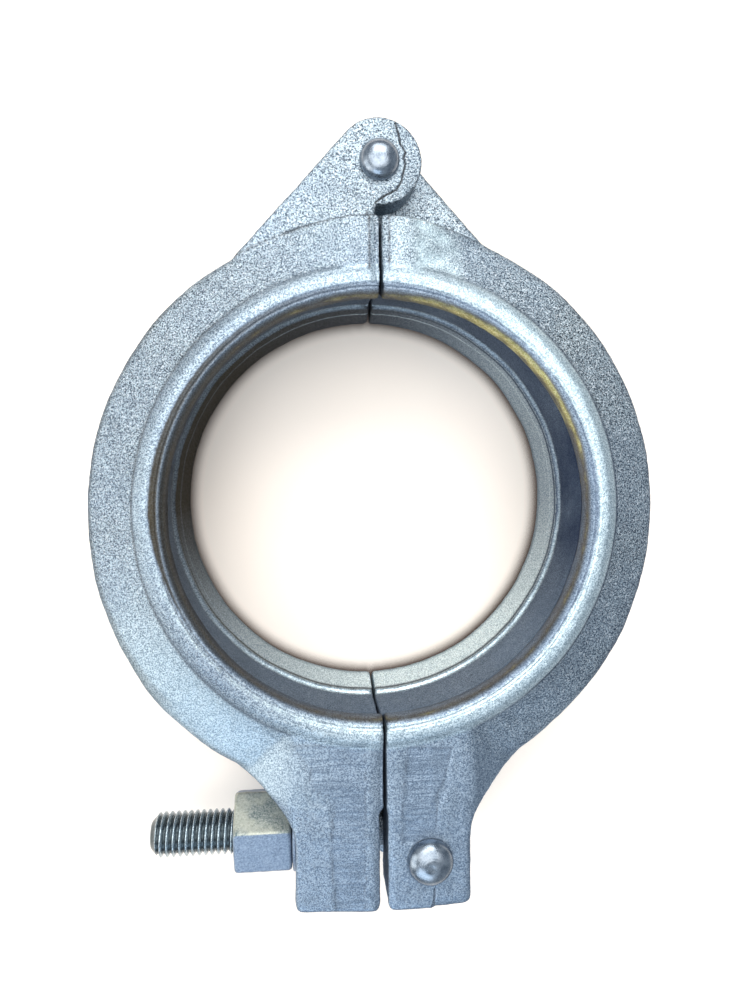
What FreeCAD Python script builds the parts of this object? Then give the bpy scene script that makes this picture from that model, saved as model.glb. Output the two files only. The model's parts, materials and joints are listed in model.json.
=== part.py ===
"""Hinged two-half clamp for DN125 pipe-end collars, closed by a swing bolt.

The clamp lies flat: +Z is the pipe's axis, +Y points to the hinge and +X to
the half that opens. The origin is the centre of the ring. Sizes are in mm.
"""
import FreeCAD, Part
import math
import os
import re
import Sketcher

DIMENSIONS = {
    # ring section, the same on both sides of the middle plane
    "lip_radius": 70.0,
    "lip_start": 23.5,
    "lip_round": 4.2,
    "land_radius": 73.7,
    "cavity_radius": 75.2,
    "cavity_side": 13.0,
    "crown_height": 30.0,
    "crown_outer": 77.2,
    "collar_outer": 80.2,
    "collar_height": 28.4,
    "collar_foot": 27.2,
    "shoulder_outer": 94.8,
    "shoulder_height": 21.3,
    "rim_height": 19.4,
    "rim_radius": 96.2,
    "ring_radius": 96.8,
    # split between the halves
    "split_gap": 0.9,
    "foot_gap": 1.4,
    "foot_gap_top": 97.7,
    # raised block of each half beside the hinge
    "block_radius": 96.4,
    "block_inner": 78.0,
    "block_angle": 23.0,
    "block_height": 28.6,
    "block_flat": 10.0,
    "block_low": 19.8,
    # hinge
    "hinge_x": 1.0,
    "hinge_y": 115.6,
    "ear_radius": 14.2,
    "ear_height": 21.0,
    "ear_slope": 47.6,
    "ear_slot": 7.75,
    "ear_slot_floor": 99.0,
    "ear_neck": 0.6,
    "tongue_radius": 12.8,
    "tongue_height": 7.0,
    "slope_length": 57.0,
    "hinge_pin_radius": 5.0,
    "hinge_head_radius": 6.7,
    "hinge_head_rim": 2.2,
    "hinge_head_height": 5.0,
    "hinge_tail_height": 3.0,
    # lugs that the bolt draws together
    "lug_half_height": 28.4,
    "lug_side": 30.2,
    "lug_end": 138.1,
    "lug_corner": 2.6,
    "lug_fillet": 33.0,
    "lug_low": 19.4,
    "lug_low_side": 47.0,
    # swing bolt
    "bolt_x": 15.8,
    "bolt_y": 120.6,
    "bolt_radius": 7.94,
    "bolt_tip": 83.0,
    "bolt_chamfer": 3.0,
    "bolt_slot": 8.75,
    "bolt_slot_top": 110.0,
    "eye_radius": 13.5,
    "eye_height": 8.25,
    "eye_slot_top": 105.6,
    "bolt_pin_radius": 6.0,
    "bolt_head_radius": 8.0,
    "bolt_head_rim": 1.8,
    "bolt_head_height": 5.2,
    "bolt_tail_height": 1.4,
    # seat for the washer on the left lug
    "seat_face": 29.6,
    "seat_height": 16.5,
    "seat_top": 104.1,
    "seat_flat_end": 124.1,
    "seat_swing_radius": 45.7,
    # washer and nut
    "washer_face": 29.9,
    "washer_thickness": 1.6,
    "washer_radius": 15.0,
    "washer_bore": 8.75,
    "nut_face": 31.7,
    "nut_length": 20.8,
    "nut_flats": 27.0,
    "nut_turn": 21.2,
    "nut_turned_radius": 15.1,
    "nut_chamfer": 1.3,
    # radial running clearance of pins and thread
    "running_clearance": 0.05,
}

doc = FreeCAD.newDocument("pipe_clamp")
sheet = doc.addObject("Spreadsheet::Sheet", "Size")
for row, (alias, value) in enumerate(DIMENSIONS.items(), start=1):
    sheet.set(f"A{row}", alias)
    sheet.set(f"B{row}", str(value))
    sheet.setAlias(f"B{row}", alias)
doc.recompute()


def words(text):
    """Turn plain dimension names into references to the sheet."""
    def reference(match):
        name = match.group()
        return "Size." + name if name in DIMENSIONS else name
    return re.sub(r"[a-z_]+", reference, text)


def number(text):
    """Value of a text expression over the sheet's dimensions."""
    value = sheet.evalExpression(words(text))
    return float(getattr(value, "Value", value))


def bind(thing, **sizes):
    """Bind properties of an object to expressions over the sheet."""
    for name, text in sizes.items():
        thing.setExpression(name, words(text))


def arc_between(start, end, radius, turn, long_way):
    """Arc from start to end; turn is +1 counter-clockwise, -1 clockwise."""
    middle = (start + end) * 0.5
    along = end - start
    rise = math.sqrt(max(radius**2 - (along.Length / 2)**2, 0.0))
    left = FreeCAD.Vector(-along.y, along.x, 0).normalize()
    side = turn * (-1 if long_way else 1)
    centre = middle + left * rise * side
    circle = Part.Circle(centre, FreeCAD.Vector(0, 0, 1), radius)
    first = math.atan2(start.y - centre.y, start.x - centre.x)
    last = math.atan2(end.y - centre.y, end.x - centre.x)
    if turn < 0:
        first, last = last, first
    if last < first:
        last += 2 * math.pi
    return Part.ArcOfCircle(circle, first, last)


def pin_down(sketch, geometry, end, place):
    """Fix one end of a piece of geometry at two bound coordinates."""
    for kind, axis, text in zip(("DistanceX", "DistanceY"), (-2, -1), place):
        value = number(text)
        if abs(value) < 1e-9:
            sketch.addConstraint(
                Sketcher.Constraint("PointOnObject", geometry, end, axis))
            continue
        index = sketch.addConstraint(
            Sketcher.Constraint(kind, -1, 1, geometry, end, value))
        sketch.setExpression(f"Constraints[{index}]", words(text))


def outline(body, name, plane, corners):
    """Closed sketch on an origin plane of the body.

    Each corner is (x, y) or (x, y, radius, turn) or (x, y, radius, turn,
    "long"), where the last entries give the arc to the next corner.
    """
    sketch = body.newObject("Sketcher::SketchObject", name)
    support = next(f for f in body.Origin.OriginFeatures if f.Role == plane)
    sketch.AttachmentSupport = (support, "")
    sketch.MapMode = "FlatFace"
    points = [FreeCAD.Vector(number(c[0]), number(c[1]), 0) for c in corners]
    starts = []
    for index, corner in enumerate(corners):
        start, end = points[index], points[(index + 1) % len(points)]
        if len(corner) == 2:
            sketch.addGeometry(Part.LineSegment(start, end))
            starts.append((1, 2))
            continue
        radius, turn = corner[2], corner[3]
        arc = arc_between(start, end, number(radius), turn, "long" in corner)
        sketch.addGeometry(arc)
        starts.append((1, 2) if turn > 0 else (2, 1))
        index = sketch.addConstraint(
            Sketcher.Constraint("Radius", index, number(radius)))
        sketch.setExpression(f"Constraints[{index}]", words(radius))
    for index, corner in enumerate(corners):
        following = (index + 1) % len(corners)
        sketch.addConstraint(Sketcher.Constraint(
            "Coincident", index, starts[index][1],
            following, starts[following][0]))
        pin_down(sketch, index, starts[index][0], corner[:2])
    return sketch


def circle_sketch(body, name, x, y, radius):
    """Sketch of one circle on the body's middle plane."""
    sketch = body.newObject("Sketcher::SketchObject", name)
    support = next(f for f in body.Origin.OriginFeatures if f.Role == "XY_Plane")
    sketch.AttachmentSupport = (support, "")
    sketch.MapMode = "FlatFace"
    centre = FreeCAD.Vector(number(x), number(y), 0)
    up = FreeCAD.Vector(0, 0, 1)
    sketch.addGeometry(Part.Circle(centre, up, number(radius)))
    index = sketch.addConstraint(
        Sketcher.Constraint("Radius", 0, number(radius)))
    sketch.setExpression(f"Constraints[{index}]", words(radius))
    pin_down(sketch, 0, 3, (x, y))
    return sketch


def new_body(label):
    """PartDesign body whose label is the sub-part's name."""
    body = doc.addObject("PartDesign::Body", label + "_body")
    body.Label = label
    body.AllowCompound = True
    return body


def pad(body, name, sketch, half_height):
    """Add material on both sides of the middle plane."""
    feature = body.newObject("PartDesign::Pad", name)
    feature.Profile = sketch
    feature.SideType = "Symmetric"
    bind(feature, Length=f"2 * ({half_height})")
    doc.recompute()
    return feature


def pocket(body, name, sketch, half_height):
    """Remove material on both sides of the middle plane."""
    before = body.Shape.Volume
    feature = body.newObject("PartDesign::Pocket", name)
    feature.Profile = sketch
    feature.SideType = "Symmetric"
    bind(feature, Length=f"2 * ({half_height})")
    doc.recompute()
    if body.Shape.Volume >= before - 1e-3:
        raise RuntimeError(f"{name} removed nothing")
    return feature


def revolve(body, name, sketch, angle, reverse=False):
    """Turn a sketch about its own vertical axis."""
    feature = body.newObject("PartDesign::Revolution", name)
    feature.Profile = sketch
    feature.ReferenceAxis = (sketch, ["V_Axis"])
    feature.Angle = angle
    feature.Reversed = reverse
    doc.recompute()
    return feature


def ring_section():
    """Corners of the ring's section: both lips, cavity, crown and shoulder."""
    front = [
        ("cavity_radius", "cavity_side"),
        ("land_radius", "cavity_side"),
        ("lip_radius", "lip_start"),
        ("lip_radius", "crown_height - lip_round", "lip_round", -1),
        ("lip_radius + lip_round", "crown_height"),
        ("crown_outer", "crown_height"),
        ("collar_outer", "collar_height"),
        ("collar_outer + 0.6", "collar_foot"),
        ("shoulder_outer", "shoulder_height"),
        ("rim_radius", "rim_height"),
        ("ring_radius", "0"),
    ]
    back = [
        ("rim_radius", "-rim_height"),
        ("shoulder_outer", "-shoulder_height"),
        ("collar_outer + 0.6", "-collar_foot"),
        ("collar_outer", "-collar_height"),
        ("crown_outer", "-crown_height"),
        ("lip_radius + lip_round", "-crown_height", "lip_round", -1),
        ("lip_radius", "lip_round - crown_height"),
        ("lip_radius", "-lip_start"),
        ("land_radius", "-cavity_side"),
        ("cavity_radius", "-cavity_side"),
    ]
    return front + back


def block_corners(side):
    """Raised block beside the hinge; side is -1 on the left, +1 right."""
    sign = "-" if side < 0 else ""
    return [
        ("0", "block_inner"),
        ("0", "block_radius", "block_radius", -side),
        (f"{sign}block_radius * sin(block_angle)",
         "block_radius * cos(block_angle)"),
        (f"{sign}block_inner * sin(block_angle)",
         "block_inner * cos(block_angle)", "block_inner", side),
    ]


def lug_corners(side):
    """Lug below the ring, with its hollow fillet into the ring's rim."""
    sign = "-" if side < 0 else ""
    reach = "(lug_side + lug_fillet)"
    total = "(ring_radius + lug_fillet)"
    drop = f"sqrt({total} ^ 2 - {reach} ^ 2)"
    return [
        ("0", "-block_inner"),
        ("0", "-foot_gap_top"),
        (f"{sign}foot_gap", "-foot_gap_top - foot_gap"),
        (f"{sign}foot_gap", "lug_corner - lug_end", "lug_corner", side),
        (f"{sign}(foot_gap + lug_corner)", "-lug_end"),
        (f"{sign}(lug_side - lug_corner)", "-lug_end", "lug_corner", side),
        (f"{sign}lug_side", "lug_corner - lug_end"),
        (f"{sign}lug_side", f"-{drop}", "lug_fillet", -side),
        (f"{sign}{reach} * ring_radius / {total}",
         f"-{drop} * ring_radius / {total}"),
        (f"{sign}{reach} * block_inner / {total}",
         f"-{drop} * block_inner / {total}", "block_inner", -side),
    ]


def box_corners(left, right, low, high):
    """Corners of an upright rectangle."""
    return [(left, low), (right, low), (right, high), (left, high)]


def hinge_flank(side, radius):
    """Tangent point on the hinge round and the far end of the flank."""
    sign = "-" if side < 0 else "+"
    start_x = f"hinge_x {sign} {radius} * sin(ear_slope)"
    start_y = f"hinge_y + {radius} * cos(ear_slope)"
    end_x = f"{start_x} {sign} slope_length * cos(ear_slope)"
    end_y = f"{start_y} - slope_length * sin(ear_slope)"
    return (start_x, start_y), (end_x, end_y)


def slope_off(body, name, side, high, flat, low, far):
    """Slope the front and back of a block down from one width to another."""
    sign = "-" if side < 0 else ""
    for face, up in (("front", ""), ("back", "-")):
        wedge = outline(body, f"{name}_{face}_outline", "XZ_Plane", [
            (f"{sign}{flat}", f"{up}{high}"),
            (f"{sign}{far}", f"{up}{low}"),
            (f"{sign}({far} + 1)", f"{up}({high} + 1)"),
            (f"{sign}{flat}", f"{up}({high} + 1)"),
        ])
        pocket(body, f"{name}_{face}", wedge, "lug_end + 1")


def half_ring(label, side):
    """Half ring with its hinge block and lug; side is -1 left, +1 right."""
    body = new_body(label)
    block = outline(body, label + "_block_outline", "XY_Plane",
                    block_corners(side))
    pad(body, label + "_block", block, "block_height")
    slope_off(body, label + "_block_slope", side, "block_height",
              "block_flat", "block_low", "block_radius * sin(block_angle)")
    lug = outline(body, label + "_lug_outline", "XY_Plane", lug_corners(side))
    pad(body, label + "_lug", lug, "lug_half_height")
    slope_off(body, label + "_lug_slope", side, "lug_half_height",
              "lug_side", "lug_low", "lug_low_side")
    section = outline(body, label + "_section", "YZ_Plane", ring_section())
    revolve(body, label + "_ring", section, 180, reverse=side > 0)
    return body


def left_half():
    """Half with the hinge fork and the open bolt slot."""
    body = half_ring("left_half", -1)
    tangent, far = hinge_flank(-1, "ear_radius")
    ear = outline(body, "ear_outline", "XY_Plane", [
        ("-ear_neck", "hinge_y - sqrt(ear_radius^2 - (hinge_x + ear_neck)^2)",
         "ear_radius", 1, "long"),
        tangent,
        far,
        ("-ear_neck", "block_inner"),
    ])
    pad(body, "ears", ear, "ear_height")
    slot = outline(body, "ear_slot_outline", "XY_Plane", box_corners(
        "-ring_radius", "ring_radius", "ear_slot_floor", "bolt_y + bolt_x"))
    pocket(body, "fork_slot", slot, "ear_slot")
    hole = circle_sketch(body, "ear_hole_outline", "hinge_x", "hinge_y",
                         "hinge_pin_radius")
    pocket(body, "ear_holes", hole, "ear_height + 1")
    bolt = outline(body, "bolt_slot_outline", "XY_Plane", box_corners(
        "-lug_side - 1", "1", "-lug_end - 1", "-bolt_slot_top"))
    pocket(body, "bolt_slot_cut", bolt, "bolt_slot")
    reach = "sqrt(seat_swing_radius^2 - (seat_flat_end - bolt_y)^2)"
    low = "sqrt(seat_swing_radius^2 - (lug_end + 1 - bolt_y)^2)"
    seat = outline(body, "seat_outline", "XY_Plane", [
        ("-seat_face", "-seat_top"),
        ("-lug_side - 3", "-seat_top"),
        ("-lug_side - 3", "-lug_end - 1"),
        (f"bolt_x - {low}", "-lug_end - 1", "seat_swing_radius", -1),
        (f"bolt_x - {reach}", "-seat_flat_end"),
        ("-seat_face", "-seat_flat_end"),
    ])
    pocket(body, "washer_seat", seat, "seat_height")
    return body


def right_half():
    """Half with the hinge tongue and the fork that holds the swing bolt."""
    body = half_ring("right_half", 1)
    tangent, far = hinge_flank(1, "tongue_radius")
    tongue = outline(body, "tongue_outline", "XY_Plane", [
        ("split_gap", "block_inner"),
        far,
        (*tangent, "tongue_radius", 1, "long"),
        ("split_gap",
         "hinge_y - sqrt(tongue_radius^2 - (split_gap - hinge_x)^2)"),
    ])
    pad(body, "tongue", tongue, "tongue_height")
    hole = circle_sketch(body, "tongue_hole_outline", "hinge_x", "hinge_y",
                         "hinge_pin_radius + running_clearance")
    pocket(body, "tongue_hole", hole, "tongue_height + 1")
    split = outline(body, "split_outline", "XY_Plane", box_corners(
        "-1", "split_gap", "-block_radius - 2", "block_radius + 1"))
    pocket(body, "split_cut", split, "crown_height + 1")
    eye = outline(body, "eye_slot_outline", "XY_Plane", box_corners(
        "-1", "lug_side + 1", "-lug_end - 1", "-eye_slot_top"))
    pocket(body, "eye_slot", eye, "bolt_slot")
    hole = circle_sketch(body, "pin_hole_outline", "bolt_x", "-bolt_y",
                         "bolt_pin_radius")
    pocket(body, "pin_holes", hole, "lug_half_height + 1")
    return body


def rivet(label, pin, head, rim, top, seat, tail, x, y):
    """Riveted pin: domed head in front, lower upset head at the back."""
    body = new_body(label)
    rise = f"({top} - {rim})"
    dome = f"({head}^2 + {rise}^2) / (2 * {rise})"
    upset = f"({head}^2 + {tail}^2) / (2 * {tail})"
    section = outline(body, label + "_section", "XZ_Plane", [
        ("0", f"-{seat} - {tail}", upset, 1),
        (head, f"-{seat}"),
        (pin, f"-{seat}"),
        (pin, seat),
        (head, seat),
        (head, f"{seat} + {rim}", dome, 1),
        ("0", f"{seat} + {top}"),
    ])
    revolve(body, label + "_turned", section, 360)
    body.setExpression("Placement.Base.x", words(x))
    body.setExpression("Placement.Base.y", words(y))
    return body


def swing_bolt():
    """Forged eye with a threaded shank that points to -X."""
    body = new_body("swing_bolt")
    eye = circle_sketch(body, "eye_outline", "bolt_x", "-bolt_y", "eye_radius")
    pad(body, "eye", eye, "eye_height")
    shank = outline(body, "shank_section", "XY_Plane", [
        ("bolt_x", "-bolt_y"),
        ("bolt_x", "bolt_radius - bolt_y"),
        ("bolt_chamfer - bolt_tip", "bolt_radius - bolt_y"),
        ("-bolt_tip", "bolt_radius - bolt_chamfer - bolt_y"),
        ("-bolt_tip", "-bolt_y"),
    ])
    turned = body.newObject("PartDesign::Revolution", "shank")
    turned.Profile = shank
    turned.ReferenceAxis = (shank, ["Edge5"])
    turned.Angle = 360
    doc.recompute()
    hole = circle_sketch(body, "eye_hole_outline", "bolt_x", "-bolt_y",
                         "bolt_pin_radius + running_clearance")
    pocket(body, "eye_hole", hole, "eye_height + 1")
    return body


def along_bolt(thing, face):
    """Lay a primitive along the bolt, from a face at -X outwards."""
    thing.Placement.Rotation = FreeCAD.Rotation(FreeCAD.Vector(0, 1, 0), -90)
    thing.setExpression("Placement.Base.x", words(f"-({face})"))
    thing.setExpression("Placement.Base.y", words("-bolt_y"))


def primitive(kind, name, face, **sizes):
    """Part primitive along the bolt with bound sizes."""
    thing = doc.addObject(kind, name)
    bind(thing, **sizes)
    along_bolt(thing, face)
    return thing


def washer():
    """Plain washer between the left lug and the nut."""
    disc = primitive("Part::Cylinder", "washer_disc", "washer_face",
                     Radius="washer_radius", Height="washer_thickness")
    bore = primitive("Part::Cylinder", "washer_hole", "washer_face - 1",
                     Radius="washer_bore", Height="washer_thickness + 2")
    cut = doc.addObject("Part::Cut", "washer_cut")
    cut.Base, cut.Tool = disc, bore
    cut.Label = "washer"
    return cut


def nut():
    """Long hexagon nut with turned ends and a plain bore for the thread."""
    blank = primitive("Part::Prism", "nut_blank", "nut_face",
                      Circumradius="nut_flats / sqrt(3)", Height="nut_length")
    blank.Polygon = 6
    lay = FreeCAD.Rotation(FreeCAD.Vector(0, 1, 0), -90)
    turn = FreeCAD.Rotation(FreeCAD.Vector(1, 0, 0), -number("nut_turn"))
    blank.Placement.Rotation = turn.multiply(lay)
    turned = primitive("Part::Cylinder", "nut_turning", "nut_face",
                       Radius="nut_turned_radius + nut_chamfer / 2",
                       Height="nut_length")
    doc.recompute()
    ends = doc.addObject("Part::Chamfer", "nut_ends")
    ends.Base = turned
    rims = [index for index, edge in enumerate(turned.Shape.Edges, start=1)
            if edge.Closed and len(edge.Vertexes) == 1]
    size = number("nut_chamfer")
    ends.Edges = [(index, size, size) for index in rims]
    body = doc.addObject("Part::Common", "nut_body")
    body.Base, body.Tool = blank, ends
    bore = primitive("Part::Cylinder", "nut_bore", "nut_face - 1",
                     Radius="bolt_radius + running_clearance",
                     Height="nut_length + 2")
    cut = doc.addObject("Part::Cut", "nut_cut")
    cut.Base, cut.Tool = body, bore
    cut.Label = "nut"
    return cut


def write(pieces):
    """Check every object and write one STEP file for each sub-part."""
    doc.recompute()
    for thing in doc.Objects:
        if "Invalid" in thing.State or "Error" in thing.State:
            raise RuntimeError(f"{thing.Name} failed: {thing.State}")
    os.makedirs("parts", exist_ok=True)
    for piece in pieces:
        shape = piece.Shape
        if shape.isNull() or not shape.isValid():
            raise RuntimeError(f"{piece.Label} has no valid shape")
        shape.exportStep(f"parts/{piece.Label}.step")
        print(f"{piece.Label}: {len(shape.Solids)} solid, "
              f"{shape.Volume / 1000:.1f} cm3, {shape.BoundBox}")


write([
    left_half(),
    right_half(),
    rivet("hinge_pin", "hinge_pin_radius", "hinge_head_radius",
          "hinge_head_rim", "hinge_head_height", "ear_height",
          "hinge_tail_height", "hinge_x", "hinge_y"),
    rivet("bolt_pin", "bolt_pin_radius", "bolt_head_radius",
          "bolt_head_rim", "bolt_head_height", "lug_half_height",
          "bolt_tail_height", "bolt_x", "-bolt_y"),
    swing_bolt(),
    washer(),
    nut(),
])
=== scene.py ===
"""Looks of a zinc-plated forged pipe clamp lying on a pale floor.

The scene is in metres. Meshes are worked out in millimetres and scaled by MM.
"""

import json
import math

import bmesh
import bpy
import numpy as np
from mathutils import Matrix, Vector


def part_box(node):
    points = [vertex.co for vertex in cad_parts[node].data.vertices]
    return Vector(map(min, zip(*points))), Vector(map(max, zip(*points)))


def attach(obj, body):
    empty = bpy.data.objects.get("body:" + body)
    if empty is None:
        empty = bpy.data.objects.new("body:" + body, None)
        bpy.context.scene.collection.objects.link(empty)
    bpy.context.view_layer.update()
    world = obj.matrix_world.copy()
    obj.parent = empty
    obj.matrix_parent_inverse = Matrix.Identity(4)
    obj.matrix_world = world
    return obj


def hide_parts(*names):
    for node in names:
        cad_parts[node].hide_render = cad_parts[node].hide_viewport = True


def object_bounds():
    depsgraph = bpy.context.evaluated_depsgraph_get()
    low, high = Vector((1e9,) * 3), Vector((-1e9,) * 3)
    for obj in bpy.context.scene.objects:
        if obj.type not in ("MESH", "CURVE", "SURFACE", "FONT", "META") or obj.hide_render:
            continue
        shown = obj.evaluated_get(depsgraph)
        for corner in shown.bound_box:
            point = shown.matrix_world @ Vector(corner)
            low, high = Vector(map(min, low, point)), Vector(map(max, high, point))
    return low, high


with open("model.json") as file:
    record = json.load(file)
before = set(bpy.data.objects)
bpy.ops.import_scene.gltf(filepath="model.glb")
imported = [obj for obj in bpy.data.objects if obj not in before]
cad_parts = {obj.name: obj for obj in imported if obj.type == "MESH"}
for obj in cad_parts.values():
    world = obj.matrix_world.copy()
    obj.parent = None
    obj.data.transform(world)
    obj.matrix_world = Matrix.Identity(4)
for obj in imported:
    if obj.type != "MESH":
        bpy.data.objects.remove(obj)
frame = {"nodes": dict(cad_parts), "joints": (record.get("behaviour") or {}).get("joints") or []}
CAD_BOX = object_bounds()
MM = 0.001

# Axes and faces that the frame gives, in millimetres where they shape a mesh
JOINTS = {j["name"]: j for j in frame["joints"]}
HINGE = Vector(JOINTS["clamp_open"]["pos_m"]) / MM
PIVOT = Vector(JOINTS["bolt_swing"]["pos_m"]) / MM
BOLT_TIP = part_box("swing_bolt")[0].x / MM
NUT_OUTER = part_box("nut")[0].x / MM
NUT_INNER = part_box("nut")[1].x / MM
FLOOR_Z = CAD_BOX[0].z

# Ring section of the forging, from the bore outwards
LIP_RADIUS = 70.0
CAVITY_RADIUS = 75.2
COLLAR_RADIUS = 80.5
BLOCK_RADIUS = 96.2
# Fine grooves turned in the front crown: radius, depth and width of the painted shade line in it
GROOVES = ((72.9, 0.30, 0.3), (73.95, 0.22, 0.26))

# Heights along the pipe: the cavity's two ends, the crown, ear, lug and front skin
BACK_STEP = -13.5
FRONT_LIP = 22
CROWN_FACE = 25
CROWN_TOP = 26
EAR_FACE = 21.0
LUG_FACE = 28.4
FRONT_SKIN = 20

# Along the split: the block beside the hinge, the ear above it, and the lugs
BLOCK_LOW = 76
EAR_LOW = 99
LUG_TOP = -77
LUG_END = -129.5

# Screw thread
PITCH = 25.4 / 11
CREST_RADIUS = 7.92
ROOT_RADIUS = 6.55
THREAD_START = -24.0

# Size of the even mesh of each kind of piece
HALF_VOXEL = 0.72
BOLT_VOXEL = 0.5
NUT_VOXEL = 0.36


# ---------------------------------------------------------------- mesh tools

def add_piece(name, mesh):
    """New object of a mesh."""
    piece = bpy.data.objects.new(name, mesh)
    bpy.context.scene.collection.objects.link(piece)
    return piece


def weld(work):
    """Join the vertices that lie on each other."""
    bmesh.ops.remove_doubles(work, verts=work.verts, dist=0.001 * MM)


def copy_of(node, name):
    """Loose copy of a CAD node's mesh, welded so that it is one skin."""
    mesh = frame["nodes"][node].data.copy()
    mesh.materials.clear()
    work = bmesh.new()
    work.from_mesh(mesh)
    weld(work)
    work.to_mesh(mesh)
    work.free()
    return add_piece(name, mesh)


def apply_modifiers(piece):
    """Turn a piece's modifiers into plain mesh."""
    graph = bpy.context.evaluated_depsgraph_get()
    mesh = bpy.data.meshes.new_from_object(piece.evaluated_get(graph))
    piece.modifiers.clear()
    piece.data = mesh


def remesh(piece, size):
    """Even quads of this size in millimetres over the whole skin."""
    modifier = piece.modifiers.new("even", "REMESH")
    modifier.mode = "VOXEL"
    modifier.voxel_size = size * MM
    modifier.adaptivity = 0.0
    apply_modifiers(piece)


def relax(piece, turns, weights=None):
    """Round edges off by smoothing, more where the weights are high."""
    modifier = piece.modifiers.new("relax", "SMOOTH")
    modifier.factor = 0.5
    modifier.iterations = turns
    if weights is not None:
        group = piece.vertex_groups.new(name="relax")
        levels = np.round(np.clip(weights, 0, 1) * 10)
        for level in range(1, 11):
            chosen = np.nonzero(levels == level)[0].tolist()
            group.add(chosen, level / 10, "REPLACE")
        modifier.vertex_group = "relax"
    apply_modifiers(piece)
    piece.vertex_groups.clear()


def refine(piece, near, cuts):
    """Split the edges between chosen points."""
    work = bmesh.new()
    work.from_mesh(piece.data)
    edges = [edge for edge in work.edges
             if all(near[vertex.index] for vertex in edge.verts)]
    bmesh.ops.subdivide_edges(work, edges=edges, cuts=cuts, use_grid_fill=True)
    work.to_mesh(piece.data)
    work.free()


def points_of(piece):
    """Vertex places in millimetres, and normals."""
    count = len(piece.data.vertices)
    places, normals = np.empty(count * 3), np.empty(count * 3)
    piece.data.vertices.foreach_get("co", places)
    piece.data.vertices.foreach_get("normal", normals)
    return places.reshape(-1, 3) / MM, normals.reshape(-1, 3)


def move_points(piece, places):
    """Put the vertices at new places, given in millimetres."""
    piece.data.vertices.foreach_set("co", (places * MM).reshape(-1))
    piece.data.update()


def shade(piece):
    """Shade every face smooth."""
    count = len(piece.data.polygons)
    piece.data.polygons.foreach_set("use_smooth", [True] * count)
    piece.data.update()


def store(piece, name, values):
    """Keep one number per vertex for the materials to read."""
    layer = piece.data.attributes.new(name, "FLOAT", "POINT")
    layer.data.foreach_set("value", np.clip(values, 0, 1).astype(np.float32))


def lathe(name, profile, centre, axis="Z", steps=96):
    """Turned solid; profile is (radius, height), closed on itself or at the axis."""
    work = bmesh.new()
    rings = []
    for radius, height in profile:
        turns = 1 if radius < 1e-6 else steps
        ring = []
        for index in range(turns):
            angle = 2 * math.pi * index / steps
            x, y = radius * math.cos(angle), radius * math.sin(angle)
            place = Vector((x, y, height))
            if axis == "X":
                place = Vector((height, x, y))
            ring.append(work.verts.new((place + centre) * MM))
        rings.append(ring)
    for low, high in zip(rings, rings[1:]):
        for index in range(steps):
            after = (index + 1) % steps
            corners = [low[index % len(low)], low[after % len(low)],
                       high[after % len(high)], high[index % len(high)]]
            work.faces.new(list(dict.fromkeys(corners)))
    bmesh.ops.recalc_face_normals(work, faces=work.faces)
    mesh = bpy.data.meshes.new(name)
    work.to_mesh(mesh)
    work.free()
    piece = add_piece(name, mesh)
    shade(piece)
    return piece


# ---------------------------------------------------------------- fields

def ripple(places, wavelength, seed, waves=9):
    """Smooth uneven field between about -1 and 1."""
    chance = np.random.default_rng(seed)
    total = np.zeros(len(places))
    for _ in range(waves):
        way = chance.normal(size=3)
        way /= np.linalg.norm(way)
        length = wavelength * chance.uniform(0.6, 1.5)
        phase = chance.uniform(0, 2 * math.pi)
        total += np.sin(places @ way * 2 * math.pi / length + phase)
    return total / math.sqrt(waves * 2)


def step_up(value, low, high):
    """Smooth step from 0 at low to 1 at high."""
    share = np.clip((value - low) / (high - low), 0, 1)
    return share * share * (3 - 2 * share)


def ridge(value, middle, width):
    """Bell of height 1 around a value."""
    return np.exp(-((value - middle) / width) ** 2)


def around(places, *values):
    """Blend numbers given at every 45 degrees, from +X counter-clockwise."""
    turn = np.degrees(np.arctan2(places[:, 1], places[:, 0])) % 360
    return np.interp(turn, np.arange(0, 361, 45), [*values, values[0]])


def from_axis(places, axis=Vector((0, 0, 0))):
    """Distance in the XY plane from each point to an axis along the pipe."""
    return np.hypot(places[:, 0] - axis.x, places[:, 1] - axis.y)


def line_distance(places, line):
    """Distance in the XY plane from each point to an open line."""
    best = np.full(len(places), 1e9)
    flat = places[:, :2]
    for start, end in zip(line, line[1:]):
        start, end = np.array(start), np.array(end)
        along = end - start
        share = np.clip((flat - start) @ along / (along @ along), 0, 1)
        gap = np.linalg.norm(flat - start - share[:, None] * along, axis=1)
        best = np.minimum(best, gap)
    return best


def depth_inside(places, outline):
    """Signed distance in the XY plane to a closed outline, + inside."""
    inside = np.zeros(len(places), bool)
    x, y = places[:, 0], places[:, 1]
    closed = list(outline) + [outline[0]]
    for (x0, y0), (x1, y1) in zip(closed, closed[1:]):
        if y0 != y1:
            crossing = x0 + (y - y0) * (x1 - x0) / (y1 - y0)
            inside ^= ((y0 > y) != (y1 > y)) & (x < crossing)
    gap = line_distance(places, closed)
    return np.where(inside, gap, -gap)


# ---------------------------------------------------------------- materials

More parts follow.
